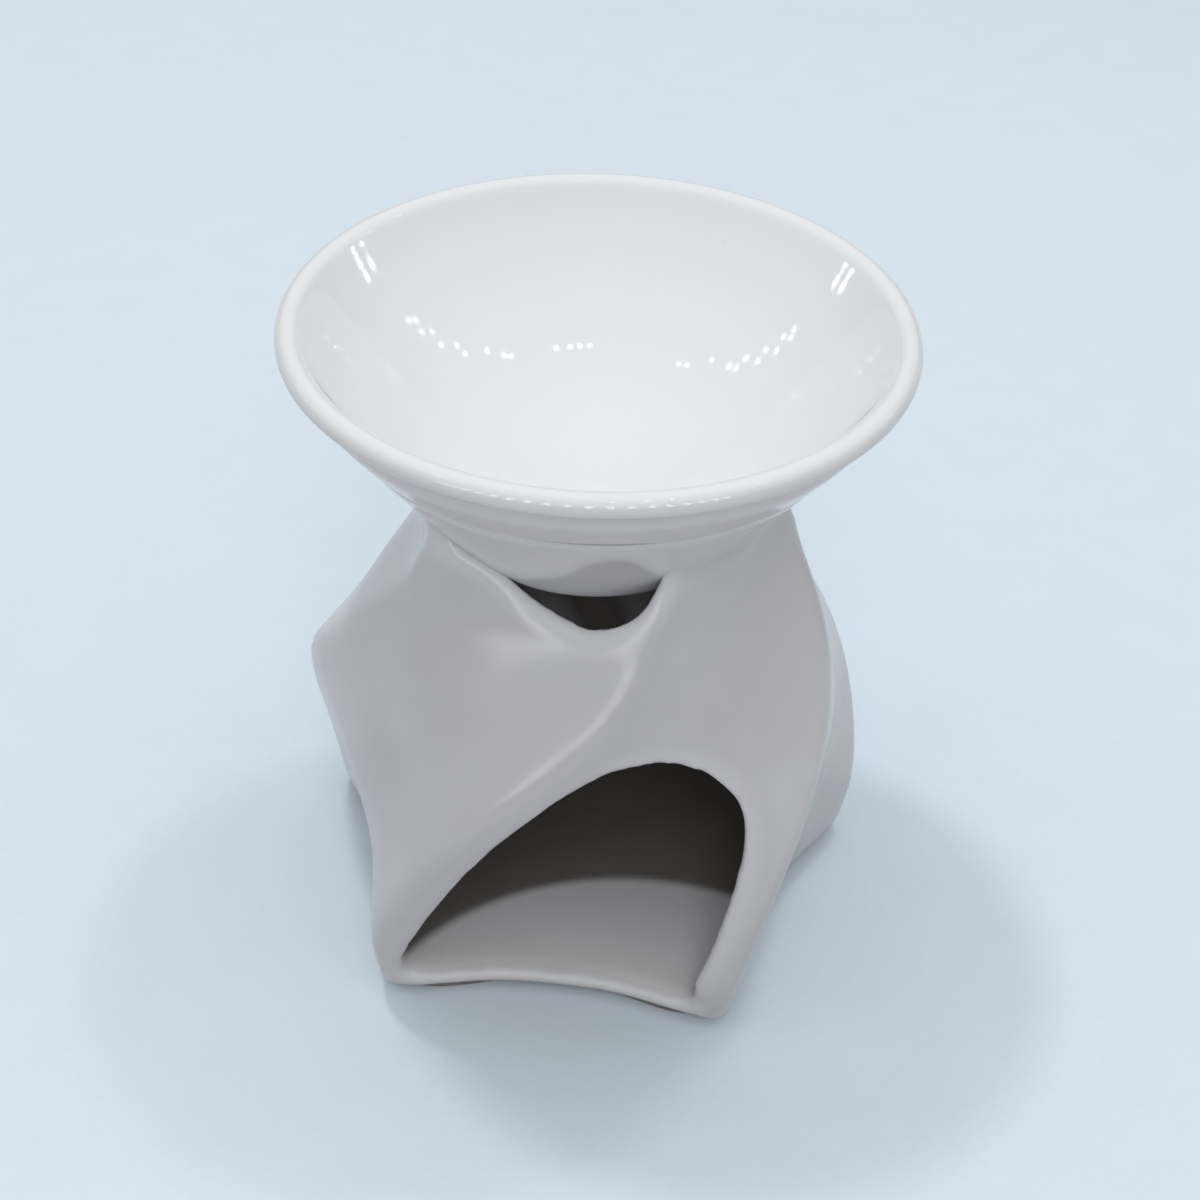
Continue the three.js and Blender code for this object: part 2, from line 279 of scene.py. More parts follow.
def apply_modifier(piece, kind, **settings):
    deselect_all()
    piece.select_set(True)
    bpy.context.view_layer.objects.active = piece
    modifier = piece.modifiers.new(kind.lower(), kind)
    for setting, value in settings.items():
        setattr(modifier, setting, value)
    bpy.ops.object.modifier_apply(modifier=modifier.name)


# Shape of the twisted stand


def station_slope(i, column):
    def rise(a, b):
        return (STATIONS[b][column] - STATIONS[a][column]) / (STATIONS[b][0] - STATIONS[a][0])

    if i == 0:
        return rise(0, 1)
    if i == len(STATIONS) - 1:
        return rise(i - 1, i)
    below = STATIONS[i][0] - STATIONS[i - 1][0]
    above = STATIONS[i + 1][0] - STATIONS[i][0]
    return (rise(i - 1, i) * above + rise(i, i + 1) * below) / (below + above)


def along(column, height):
    """Ridge radius, face radius or turn at a height, on a smooth curve through the stations."""
    last = len(STATIONS) - 1
    if height > STATIONS[last][0]:
        return STATIONS[last][column] + (height - STATIONS[last][0]) * station_slope(last, column)
    i = max(k for k in range(last) if k == 0 or STATIONS[k][0] < height)
    low, high = STATIONS[i], STATIONS[i + 1]
    span = high[0] - low[0]
    t = (height - low[0]) / span
    return (
        low[column] * (2 * t**3 - 3 * t**2 + 1)
        + high[column] * (3 * t**2 - 2 * t**3)
        + span * station_slope(i, column) * (t**3 - 2 * t**2 + t)
        + span * station_slope(i + 1, column) * (t**3 - t**2)
    )


def crest(across, rounding):
    """1 on a ridge and 0 in the middle of a face."""
    from_ridge = 1 - abs(2 * (across % 1) - 1)
    eased = (math.hypot(from_ridge, rounding) - rounding) / (math.hypot(1, rounding) - rounding)
    return max(0, 1 - eased) ** CREST_POWER


def outer_radius(across, height):
    face = along(FACE, height)
    return face + (along(RIDGE, height) - face) * crest(across, CREST_ROUNDING)


def inner_radius(across, height):
    face = along(FACE, height) - STAND_WALL
    ridge = along(RIDGE, height) - RIDGE_WALL
    return face + (ridge - face) * crest(across, INNER_CREST_ROUNDING)


# Shape of the wax dish

LIP_RADIUS = LIP_THICKNESS / 2
LIP_CENTRE = Vector((DISH_RADIUS - LIP_RADIUS, DISH_TOP - LIP_RADIUS))


def slope_of_dish():
    """Angle of the dish's underside, whose straight slope is tangent to the lip."""
    away = LIP_CENTRE - Vector((DISH_BASE_RADIUS, DISH_UNDERSIDE))
    return math.atan2(away.y, away.x) - math.asin(LIP_RADIUS / away.length)


SLOPE = slope_of_dish()
UPHILL = Vector((math.cos(SLOPE), math.sin(SLOPE)))
OUTWARD = Vector((math.sin(SLOPE), -math.cos(SLOPE)))


def rounded_corner(before, corner, after, radius, steps):
    back = (before - corner).normalized()
    on = (after - corner).normalized()
    half = math.acos(back.dot(on)) / 2
    centre = corner + (back + on).normalized() * radius / math.sin(half)
    start = corner + back * radius / math.tan(half) - centre
    end = corner + on * radius / math.tan(half) - centre
    turn = math.atan2(start.x * end.y - start.y * end.x, start.dot(end))
    points = []
    for i in range(steps + 1):
        angle = math.atan2(start.y, start.x) + turn * i / steps
        points.append(centre + radius * Vector((math.cos(angle), math.sin(angle))))
    return points


def slope_spot(radius, depth=0):
    """A point of the dish's sloping underside at a radius, or sunk under it."""
    rise = (radius - DISH_BASE_RADIUS) * math.tan(SLOPE)
    return Vector((radius, DISH_UNDERSIDE + rise)) - OUTWARD * depth


def dish_profile():
    """Radius and height of the dish's section, from the axis under it round the lip to the axis inside."""
    base = Vector((DISH_BASE_RADIUS, DISH_UNDERSIDE))
    top = LIP_CENTRE + OUTWARD * LIP_RADIUS
    under = rounded_corner(Vector((0, DISH_UNDERSIDE)), base, top, DISH_OUTER_CORNER, CORNER_STEPS)
    points = [Vector((0, DISH_UNDERSIDE))]
    points += [Vector((under[0].x * share, DISH_UNDERSIDE)) for share in UNDERSIDE_SHARES]
    points += under
    points += [slope_spot(radius) for radius in SLOPE_RADII]
    points += [slope_spot(UNDER_RING_RADIUS + away, UNDER_RING_DEPTH * deep)
               for away, deep in UNDER_RING_SHAPE]
    points += [slope_spot(LIP_GROOVE_RADIUS + away, LIP_GROOVE_DEPTH * deep)
               for away, deep in LIP_GROOVE_SHAPE]
    points.append(top)
    last = math.radians(BOWL_LIP_ANGLE) + math.pi / 2
    for i in range(1, LIP_STEPS):
        angle = SLOPE - math.pi / 2 + (last - SLOPE + math.pi / 2) * i / LIP_STEPS
        points.append(LIP_CENTRE + LIP_RADIUS * Vector((math.cos(angle), math.sin(angle))))
    return points + bowl_profile()


def arc_points(start, first, last, radius, steps):
    """Points of a hollow arc that climbs from a start, between two slopes in degrees."""
    points = []
    for i in range(1, steps + 1):
        lean = math.radians(first + (last - first) * i / steps)
        rise = Vector((math.sin(lean) - math.sin(math.radians(first)),
                       math.cos(math.radians(first)) - math.cos(lean)))
        points.append(start + rise * radius)
    return points


def bowl_profile():
    """The bowl's inside from the lip to the axis: nearly straight sides that run into a round bottom."""
    floor = DISH_UNDERSIDE + DISH_WALL
    points = [Vector((BOWL_FLOOR_RADIUS * share, floor)) for share in (0, 0.5, 1)]
    points += arc_points(points[-1], 0, BOWL_TURN_ANGLE, BOWL_LOW_CURVE, BOWL_LOW_STEPS)
    lean = math.radians(BOWL_LIP_ANGLE)
    lip = LIP_CENTRE + LIP_RADIUS * Vector((-math.sin(lean), math.cos(lean)))
    half_turn = math.radians(BOWL_LIP_ANGLE - BOWL_TURN_ANGLE) / 2
    radius = (lip - points[-1]).length / 2 / math.sin(half_turn)
    points += arc_points(points[-1], BOWL_TURN_ANGLE, BOWL_LIP_ANGLE, radius, BOWL_HIGH_STEPS)
    return points[::-1]


def draw_chain(name, points):
    """A chain of edges drawn by extruding one vertex from point to point, left in edit mode."""
    deselect_all()
    bpy.ops.mesh.primitive_plane_add(size=MM, location=points[0] * MM)
    piece = name_piece(name)
    keep_place(piece)
    bpy.ops.object.mode_set(mode="EDIT")
    bpy.ops.mesh.select_mode(type="VERT")
    bpy.ops.mesh.select_all(action="SELECT")
    bpy.ops.mesh.merge(type="CENTER")
    for before, after in zip(points, points[1:]):
        bpy.ops.mesh.extrude_region_move(TRANSFORM_OT_translate={"value": (after - before) * MM})
    return piece


def turn_wax_dish():
    profile = [Vector((point.x, 0, point.y)) for point in dish_profile()]
    piece = draw_chain("wax_dish_glazed", profile)
    bpy.ops.mesh.select_all(action="SELECT")
    bpy.ops.mesh.spin(steps=DISH_TURN_STEPS, angle=math.tau, center=(0, 0, 0), axis=(0, 0, 1))
    bpy.ops.mesh.select_all(action="SELECT")
    bpy.ops.mesh.remove_doubles(threshold=MERGE_DISTANCE * MM)
    bpy.ops.mesh.normals_make_consistent(inside=False)
    bpy.ops.object.mode_set(mode="OBJECT")
    apply_modifier(piece, "SUBSURF", levels=1, render_levels=1)
    bpy.ops.object.shade_smooth()
    return piece


# Stand, pressed up ring by ring


def dish_height(radius, tuck=0):
    """Height of the dish's underside slope at a radius, or of a line tucked under its surface."""
    return DISH_UNDERSIDE + (radius - DISH_BASE_RADIUS) * math.tan(SLOPE) + tuck / math.cos(SLOPE)


def meeting_height(across):
    """Height at which the stand's outside meets the dish's underside."""
    low, high = DISH_UNDERSIDE, STATIONS[-1][0] + FLARE_REACH
    for _ in range(MEETING_TRIES):
        middle = (low + high) / 2
        if dish_height(outer_radius(across, middle), TUCK_DEPTH) > middle:
            low = middle
        else:
            high = middle
    return low


def flare(across):
    """The soft fillet by which the stand's outside runs into the dish: radius and height pairs."""
    meet = meeting_height(across)
    start = Vector((outer_radius(across, meet - FLARE_REACH), meet - FLARE_REACH))
    corner = Vector((outer_radius(across, meet), meet))
    end = corner + UPHILL * FLARE_REACH
    half = math.acos((start - corner).normalized().dot(UPHILL)) / 2
    return rounded_corner(start, corner, end, FLARE_REACH * math.tan(half) * FLARE_FILL, CORNER_STEPS)


def inner_top(across):
    """Where the stand's inside disappears into the dish's wall."""
    radius = inner_radius(across, DISH_UNDERSIDE + INNER_TOP_RISE)
    return radius, dish_height(radius) + INNER_TOP_TUCK


def stand_rings():
    """Each ring is a height for its turn and a function from share across to radius and height."""
    rings = []
    for lean in reversed(EDGE_LEANS):
        height = STAND_BOTTOM + BOTTOM_EDGE * (1 - math.sin(math.radians(lean)))
        inset = BOTTOM_EDGE * (1 - math.cos(math.radians(lean)))
        rings.append((height, lambda a, h=height, i=inset: (outer_radius(a, h) - i, h)))
    low = STAND_BOTTOM + BOTTOM_EDGE
    steps = round((TOP_RING - low) / RING_SPACING)
    for k in range(steps + 1):
        height = low + (TOP_RING - low) * k / steps
        rings.append((height, lambda a, h=height: (outer_radius(a, h), h)))
    for k in range(CORNER_STEPS + 1):
        rings.append((FLARE_TURN_HEIGHT, lambda a, k=k: tuple(flare(a)[k])))
    for reach, depth in HIDDEN_SPOTS:
        rings.append((FLARE_TURN_HEIGHT,
                      lambda a, r=reach, d=depth: tuple(flare(a)[-1] + UPHILL * r - OUTWARD * d)))
    rings.append((INNER_TOP_TURN_HEIGHT, inner_top))
    low = FLOOR_TOP + POOL_RADIUS
    steps = round((TOP_RING - low) / (2 * RING_SPACING))
    for k in range(steps, -1, -1):
        height = low + (TOP_RING - low) * k / steps
        rings.append((height, lambda a, h=height: (inner_radius(a, h), h)))
    for lean in EDGE_LEANS:
        height = FLOOR_TOP + POOL_RADIUS * (1 - math.sin(math.radians(lean)))
        inset = POOL_RADIUS * (1 - math.cos(math.radians(lean)))
        rings.append((low, lambda a, h=height, i=inset: (inner_radius(a, h) - i, h)))
    for share in FLOOR_SHARES:
        rings.append((low, lambda a, s=share: (inner_radius(a, FLOOR_TOP) * s, FLOOR_TOP)))
    return rings


def spot_class(vertex, turn):
    """Steps between a spot and its nearest ridge, the same on both sides of every ridge."""
    angle = math.degrees(math.atan2(vertex.co.y, vertex.co.x)) - FIRST_RIDGE_ANGLE - turn
    share = (angle * RIDGES / 360) % 1
    return round(min(share, 1 - share) * SPOTS)


def select_spots(piece, ring, spot, turn):
    """Selects the spots of one class in a ring of the mesh being edited, and returns one of them."""
    mesh = bmesh.from_edit_mesh(piece.data)
    chosen = None
    for vertex in mesh.verts:
        vertex.select = vertex.index in ring and spot in (None, spot_class(vertex, turn))
        if vertex.select:
            chosen = vertex.co.copy()
    mesh.select_flush_mode()
    bmesh.update_edit_mesh(piece.data, loop_triangles=False, destructive=False)
    return chosen


def top_ring(piece):
    mesh = bmesh.from_edit_mesh(piece.data)
    mesh.verts.index_update()
    return {vertex.index for vertex in mesh.verts if vertex.select}


def shape_ring(piece, turn, place):
    """Pushes each spot of the selected ring to the radius and height that place gives for it."""
    ring = top_ring(piece)
    for spot in range(SPOTS // 2 + 1):
        now = select_spots(piece, ring, spot, turn)
        radius, height = place(spot / SPOTS)
        factor = radius * MM / math.hypot(now.x, now.y)
        bpy.ops.transform.resize(value=(factor, factor, 1), center_override=(0, 0, 0))
        bpy.ops.transform.translate(value=(0, 0, height * MM - now.z))
    select_spots(piece, ring, None, turn)


def press_twisted_stand():
    """The stand in one closed skin: up the outside, over into the dish's wall, and down to the floor."""
    deselect_all()
    bpy.ops.mesh.primitive_circle_add(
        vertices=RIDGES * SPOTS, radius=STATIONS[0][RIDGE] * MM, location=(0, 0, STAND_BOTTOM * MM)
    )
    piece = name_piece("twisted_stand_glazed")
    keep_place(piece)
    bpy.ops.object.mode_set(mode="EDIT")
    bpy.ops.mesh.select_mode(type="VERT")
    bpy.ops.mesh.select_all(action="SELECT")
    turn_selection(FIRST_RIDGE_ANGLE + 90)
    turn = 0
    for k, (height, place) in enumerate(stand_rings()):
        if k:
            bpy.ops.mesh.extrude_region_move()
        turn_selection(along(TURN, height) - turn)
        turn = along(TURN, height)
        shape_ring(piece, turn, place)
    bpy.ops.mesh.edge_face_add()
    bpy.ops.mesh.select_all(action="DESELECT")
    bpy.ops.mesh.select_non_manifold(extend=False)
    bpy.ops.mesh.edge_face_add()
    bpy.ops.mesh.select_all(action="SELECT")
    bpy.ops.mesh.normals_make_consistent(inside=False)
    bpy.ops.object.mode_set(mode="OBJECT")
    return piece


def turn_selection(degrees):
    """Turns the selection counter-clockwise seen from above. With no window the operator runs clockwise."""
    bpy.ops.transform.rotate(value=-math.radians(degrees), orient_axis="Z", center_override=(0, 0, 0))


# Openings


def smooth_outline(points, steps):
    """A soft curve through the points of an outline."""
    ends = (points[0], *points, points[-1])
    outline = []
    for i in range(steps + 1):
        place = i * (len(points) - 1) / steps
        k = min(int(place), len(points) - 2)
        t = place - k
        p0, p1, p2, p3 = (Vector(p) for p in ends[k:k + 4])
        slope_in, slope_out = (p2 - p0) / 2, (p3 - p1) / 2
        curve = p1 * (2 * t**3 - 3 * t**2 + 1) + p2 * (3 * t**2 - 2 * t**3)
        outline.append(curve + slope_in * (t**3 - 2 * t**2 + t) + slope_out * (t**3 - t**2))
    return outline


def on_stand(across, height, offset=0):
    """A point of the stand's outside, in millimetres, or moved out from it by an offset."""
    angle = math.radians(FIRST_RIDGE_ANGLE + along(TURN, height) + across * 360 / RIDGES)
    radius = outer_radius(across, height) + offset
    return Vector((radius * math.cos(angle), radius * math.sin(angle), height))


def ease_line(points, passes):
    """Evens out a line of points, whose ends stay."""
    for _ in range(passes):
        middle = [(a + b * 2 + c) / 4 for a, b, c in zip(points, points[1:], points[2:])]
        points = [points[0], *middle, points[-1]]
    return points


def mouth_arch(inset):
    """The mouth's arch from left to right on the front face, moved in by an inset."""
    arch = [on_stand(p.x, FLOOR_TOP + p.y) for p in smooth_outline(MOUTH_OUTLINE, MOUTH_STEPS)]
    arch = ease_line(arch, MOUTH_EASING)
    moved = []
    for k, point in enumerate(arch):
        on = arch[min(k + 1, len(arch) - 1)] - arch[max(k - 1, 0)]
        moved.append(point + Vector((on.z, 0, -on.x)).normalized() * inset)
    return moved


def mouth_knife():
    """A cutter with the mouth's outline, pushed straight back through the front face."""
    arch = mouth_arch(MOUTH_INSET)
    left, right = MOUTH_OUTLINE[0][0], MOUTH_OUTLINE[-1][0]
    steps = MOUTH_SILL_STEPS
    sill = [on_stand(right + (left - right) * k / steps, FLOOR_TOP) for k in range(steps + 1)]
    outline = [Vector((p.x, MOUTH_CUT_START, p.z)) for p in arch + sill]
    knife = draw_chain("mouth_knife", outline)
    bpy.ops.mesh.select_all(action="SELECT")
    bpy.ops.mesh.edge_face_add()
    depth = (MOUTH_CUT_END - MOUTH_CUT_START) * MM
    bpy.ops.mesh.extrude_region_move(TRANSFORM_OT_translate={"value": (0, depth, 0)})
    bpy.ops.mesh.select_all(action="SELECT")
    bpy.ops.mesh.normals_make_consistent(inside=False)
    bpy.ops.object.mode_set(mode="OBJECT")
    return knife


def vent_sill(face, steps):
    """The vent's sill as share across and height, mirrored on the far face."""
    sill = smooth_outline(VENT_OUTLINE, steps)
    if face > 0:
        sill = [Vector((1 - p.x, p.y)) for p in reversed(sill)]
    return sill


def vent_knife(face):
    """A curved cutter for the vent under the dish, with the outline mirrored on the far face."""
    sill = vent_sill(face, VENT_STEPS)
    chain = [on_stand(face + p.x, DISH_UNDERSIDE + p.y, VENT_CUT_OFFSET) for p in sill]
    knife = draw_chain("vent_knife", chain)
    bpy.ops.mesh.select_all(action="SELECT")
    bpy.ops.mesh.extrude_region_move(TRANSFORM_OT_translate={"value": (0, 0, VENT_CUT_RISE * MM)})
    bpy.ops.transform.resize(value=(1, 1, 0), center_override=(0, 0, VENT_CUT_TOP * MM))
    bpy.ops.mesh.select_all(action="SELECT")
    bpy.ops.mesh.extrude_region_move()
    bpy.ops.transform.resize(value=(VENT_CUT_SHARE, VENT_CUT_SHARE, 1), center_override=(0, 0, 0))
    bpy.ops.mesh.select_all(action="SELECT")
    bpy.ops.mesh.normals_make_consistent(inside=False)
    bpy.ops.object.mode_set(mode="OBJECT")
    return knife


def cut(piece, knife):
    apply_modifier(piece, "BOOLEAN", operation="DIFFERENCE", solver="EXACT", object=knife)
    bpy.data.objects.remove(knife)


def rim_spots():
    """Spots through the wall, in millimetres, all along the cut edges of the mouth and the vents."""
    left, right = MOUTH_OUTLINE[0][0], MOUTH_OUTLINE[-1][0]
    edge = mouth_arch(MOUTH_INSET)
    edge += [on_stand(left + (right - left) * k / RIM_STEPS, FLOOR_TOP) for k in range(RIM_STEPS + 1)]
    spots = [spot + Vector((0, back, 0)) for spot in edge for back in range(MOUTH_RIM_DEPTH)]
    for face in (-1, 1):
        for p in vent_sill(face, RIM_STEPS):
            spots += [on_stand(face + p.x, DISH_UNDERSIDE + p.y, -d) for d in range(VENT_RIM_DEPTH)]
    return spots


def soften_rims(piece):
    """Rounds the cut edges, as the glaze does, and keeps how near each spot is to one for the finish."""
    spots = rim_spots()
    tree = kdtree.KDTree(len(spots))
    for k, spot in enumerate(spots):
        tree.insert(spot, k)
    tree.balance()
    reach = [tree.find(vertex.co / MM)[2] for vertex in piece.data.vertices]
    weights = [min(1, max(0, 1 - (away - RIM_WIDTH) / RIM_FADE)) for away in reach]
    rims = piece.vertex_groups.new(name="rims")
    for k, weight in enumerate(weights):
        if weight > 0:
            rims.add([k], weight, "REPLACE")
    apply_modifier(piece, "SMOOTH", factor=0.5, iterations=RIM_SMOOTHING, vertex_group="rims")
    piece.vertex_groups.remove(piece.vertex_groups["rims"])
    keep_values(piece, "rim", weights)


def keep_values(piece, name, values):
    """Keeps one number for each spot of the mesh, for the finish to read."""
    piece.data.attributes.new(name, "FLOAT", "POINT").data.foreach_set("value", values)


def ease(value, low, high):
    t = min(1, max(0, (value - low) / (high - low)))
    return t * t * (3 - 2 * t)


def mark_inside(piece):
    """Keeps how far each spot belongs to the chamber's floor, painted light as lit through the mouth, and to
    the inside behind it, painted dark as shade past the arch's shadow on the floor.
    """
    painted_shade, floor = [], []
    for vertex in piece.data.vertices:
        x, y, height = vertex.co / MM
        level = max(height, STAND_BOTTOM)
        angle = math.degrees(math.atan2(y, x)) - FIRST_RIDGE_ANGLE - along(TURN, level)
        depth = outer_radius(angle * RIDGES / 360, level) - math.hypot(x, y)
        wall = ease(depth, *DARK_WALL_DEPTH)
        away = math.hypot(x - LIGHT_FLOOR_CENTRE[0], y - LIGHT_FLOOR_CENTRE[1])
        beyond = max(ease(away, *LIGHT_FLOOR_RADIUS), ease(height, *LIGHT_FLOOR_TOP))
        inside = wall if height > INSIDE_BOTTOM else 0
        painted_shade.append(inside * beyond)
        floor.append(inside * (1 - ease(height, *LIGHT_FLOOR_TOP)))
    keep_values(piece, "painted_shade", painted_shade)
    keep_values(piece, "floor", floor)


def cast_twisted_stand():
    piece = press_twisted_stand()
    cut(piece, mouth_knife())
    cut(piece, vent_knife(-1))
    cut(piece, vent_knife(1))
    apply_modifier(piece, "REMESH", mode="VOXEL", voxel_size=SKIN_GRID * MM, use_smooth_shade=True)
    apply_modifier(piece, "SMOOTH", factor=0.5, iterations=SKIN_SMOOTHING)
    mark_inside(piece)
    soften_rims(piece)
    return piece


def cut_foot():
    """The flat unglazed foot under the floor, set in from the stand's edge."""
    deselect_all()
    bpy.ops.mesh.primitive_circle_add(
        vertices=RIDGES * SPOTS, radius=STATIONS[0][FACE] * MM, fill_type="NGON"
    )
    piece = name_piece("floor_and_foot")
    bpy.ops.object.mode_set(mode="EDIT")
    bpy.ops.mesh.select_mode(type="VERT")
    bpy.ops.mesh.select_all(action="SELECT")
    turn_selection(FIRST_RIDGE_ANGLE + 90)
    shape_ring(piece, 0, lambda a: (inner_radius(a, STAND_BOTTOM) - FOOT_CLEARANCE, 0))
    bpy.ops.mesh.extrude_region_move(TRANSFORM_OT_translate={"value": (0, 0, FOOT_TOP * MM)})
    bpy.ops.mesh.select_all(action="SELECT")
    bpy.ops.mesh.normals_make_consistent(inside=False)
    bpy.ops.object.mode_set(mode="OBJECT")
    apply_modifier(piece, "BEVEL", width=FOOT_EDGE * MM, segments=FOOT_EDGE_STEPS, limit_method="ANGLE",
                   angle_limit=math.radians(FOOT_SHARP_ANGLE))
    bpy.ops.object.shade_smooth_by_angle(angle=math.radians(FOOT_SMOOTH_ANGLE))
    return piece


# Finishes


def new_group(name, inputs, outputs):
    """A shader node group with named inputs and outputs, and its two end nodes."""
    group = bpy.data.node_groups.new(name, "ShaderNodeTree")
    for socket, value in inputs.items():
        kind = "NodeSocketColor" if isinstance(value, tuple) else "NodeSocketFloat"
        made = group.interface.new_socket(socket, in_out="INPUT", socket_type=kind)
        made.default_value = (*value, 1) if isinstance(value, tuple) else value
    for socket in outputs:
        kind = "NodeSocketColor" if socket == "Color" else "NodeSocketFloat"
        group.interface.new_socket(socket, in_out="OUTPUT", socket_type=kind)
    return group, group.nodes.new("NodeGroupInput"), group.nodes.new("NodeGroupOutput")


def work_out(tree, operation, *values):
    """A Math node fed by sockets or plain numbers."""
    node = tree.nodes.new("ShaderNodeMath")
    node.operation = operation
    for socket, value in zip(node.inputs, values):
        if isinstance(value, (int, float)):
            socket.default_value = value
        else:
            tree.links.new(value, socket)
    return node.outputs[0]


def blend_colors(tree, share, first, second):
    node = tree.nodes.new("ShaderNodeMix")
    node.data_type = "RGBA"
    for socket, value in zip((node.inputs[0], node.inputs[6], node.inputs[7]), (share, first, second)):
        if isinstance(value, tuple):
            socket.default_value = (*value, 1)
        else:
            tree.links.new(value, socket)
    return node.outputs[2]


def spread(tree, value, low, high, to_low=0, to_high=1):
    """A smooth step of a value between two limits."""
    node = tree.nodes.new("ShaderNodeMapRange")
    node.interpolation_type = "SMOOTHSTEP"
    tree.links.new(value, node.inputs["Value"])
    for socket, limit in zip(("From Min", "From Max", "To Min", "To Max"), (low, high, to_low, to_high)):
        if isinstance(limit, (int, float)):
            node.inputs[socket].default_value = limit
        else:
            tree.links.new(limit, node.inputs[socket])
    return node.outputs["Result"]


def object_place(tree):
    return tree.nodes.new("ShaderNodeTexCoord").outputs["Object"]


def noise_of_size(tree, size, detail=2.0):
    """Noise whose lumps are about a size in millimetres, a plain number or a socket."""
    node = tree.nodes.new("ShaderNodeTexNoise")
    node.inputs["Detail"].default_value = detail
    tree.links.new(object_place(tree), node.inputs["Vector"])
    tree.links.new(work_out(tree, "DIVIDE", 1 / MM, size), node.inputs["Scale"])
    return node.outputs["Fac"]


def build_glaze_skin():
    """Relief of a fired glaze in millimetres: slow waves, fine peel and a few pinholes."""
    group, entry, leave = new_group(
        "glaze_skin",
        {"Wave Size": 11.0, "Wave Height": 0.02, "Peel Size": 2.4, "Peel Height": 0.002,
         "Pit Spacing": 9.0, "Pit Width": 0.5, "Pit Depth": 0.04},
        ("Height", "Pits"),
    )
    given = entry.outputs
    waves = work_out(group, "MULTIPLY", noise_of_size(group, given["Wave Size"], 1.0), given["Wave Height"])
    peel = work_out(group, "MULTIPLY", noise_of_size(group, given["Peel Size"]), given["Peel Height"])
    cells = group.nodes.new("ShaderNodeTexVoronoi")
    group.links.new(object_place(group), cells.inputs["Vector"])
    group.links.new(work_out(group, "DIVIDE", 1 / MM, given["Pit Spacing"]), cells.inputs["Scale"])
    away = work_out(group, "MULTIPLY", cells.outputs["Distance"], given["Pit Spacing"])
    pits = spread(group, away, 0, work_out(group, "DIVIDE", given["Pit Width"], 2), 1, 0)
    dips = work_out(group, "MULTIPLY", pits, given["Pit Depth"])
    lumps = work_out(group, "ADD", waves, peel)
    group.links.new(work_out(group, "SUBTRACT", lumps, dips), leave.inputs["Height"])
    group.links.new(pits, leave.inputs["Pits"])
    return group


def build_glaze_tone():
    """Colour and gloss of a fired glaze, thin and warm on edges, thick and cool where it pooled. On the
    stand's rims the thin colour is lighter than the body and also paints a highlight there.
    """
    group, entry, leave = new_group(
        "glaze_tone",
        {"Body": (0.84, 0.85, 0.85), "Thin": (0.84, 0.85, 0.83), "Pooled": (0.77, 0.81, 0.82),
         "Edge": 0.0, "Hollow": 0.0, "Pits": 0.0, "Cloud Size": 24.0, "Cloud Share": 0.3,
         "Gloss": 0.04, "Gloss Change": 0.03},
        ("Color", "Roughness"),
    )
    given = entry.outputs
    clouds = spread(group, noise_of_size(group, given["Cloud Size"], 3.0), *CLOUD_LIMITS)
    thick = work_out(group, "MULTIPLY", clouds, given["Cloud Share"])
    thick = work_out(group, "MAXIMUM", thick, given["Hollow"])
    color = blend_colors(group, thick, given["Body"], given["Pooled"])
    color = blend_colors(group, given["Edge"], color, given["Thin"])
    dirt = work_out(group, "MULTIPLY", given["Pits"], PIT_DIRT)
    group.links.new(blend_colors(group, dirt, color, PIT_COLOR), leave.inputs["Color"])
    haze = work_out(group, "MULTIPLY", noise_of_size(group, HAZE_SIZE, 3.0), given["Gloss Change"])
    group.links.new(work_out(group, "ADD", haze, given["Gloss"]), leave.inputs["Roughness"])
    return group


def build_grain():
    """Sandy grain of bare clay or of paper: a shade from 0 to 1 and a relief in millimetres."""
    group, entry, leave = new_group(
        "grain",
        {"Grain Size": 0.7, "Patch Size": 9.0, "Relief": 0.03},
        ("Shade", "Height"),
    )
    given = entry.outputs
    fine = noise_of_size(group, given["Grain Size"], 4.0)
    patches = noise_of_size(group, given["Patch Size"], 3.0)
    shade = work_out(group, "MULTIPLY", work_out(group, "ADD", fine, patches), 0.5)
    group.links.new(spread(group, shade, *GRAIN_LIMITS), leave.inputs["Shade"])
    group.links.new(work_out(group, "MULTIPLY", fine, given["Relief"]), leave.inputs["Height"])
    return group


def place_group(tree, group, **values):
    """A group node with its inputs set from plain numbers, colours or sockets."""
    node = tree.nodes.new("ShaderNodeGroup")
    node.node_tree = group
    for name, value in values.items():
        socket = node.inputs[name.replace("_", " ")]
        if isinstance(value, tuple):
            socket.default_value = (*value, 1)
        elif isinstance(value, (int, float)):
            socket.default_value = value
        else:
            tree.links.new(value, socket)
    return node


def raise_relief(tree, height, shader):
    """Feeds a relief in millimetres to the shader."""
    bump = tree.nodes.new("ShaderNodeBump")
    bump.inputs["Distance"].default_value = MM
    tree.links.new(height, bump.inputs["Height"])
    tree.links.new(bump.outputs["Normal"], shader.inputs["Normal"])


def new_material(name):
    material = bpy.data.materials.new(name)
    material.use_nodes = True
    tree = material.node_tree
    return material, tree, tree.nodes["Principled BSDF"]


def own_attribute(tree, name):
    node = tree.nodes.new("ShaderNodeAttribute")
    node.attribute_name = name
    return node.outputs["Fac"]


def height_above_foot(tree):
    split = tree.nodes.new("ShaderNodeSeparateXYZ")
    tree.links.new(object_place(tree), split.inputs[0])
    return work_out(tree, "DIVIDE", split.outputs["Z"], MM)


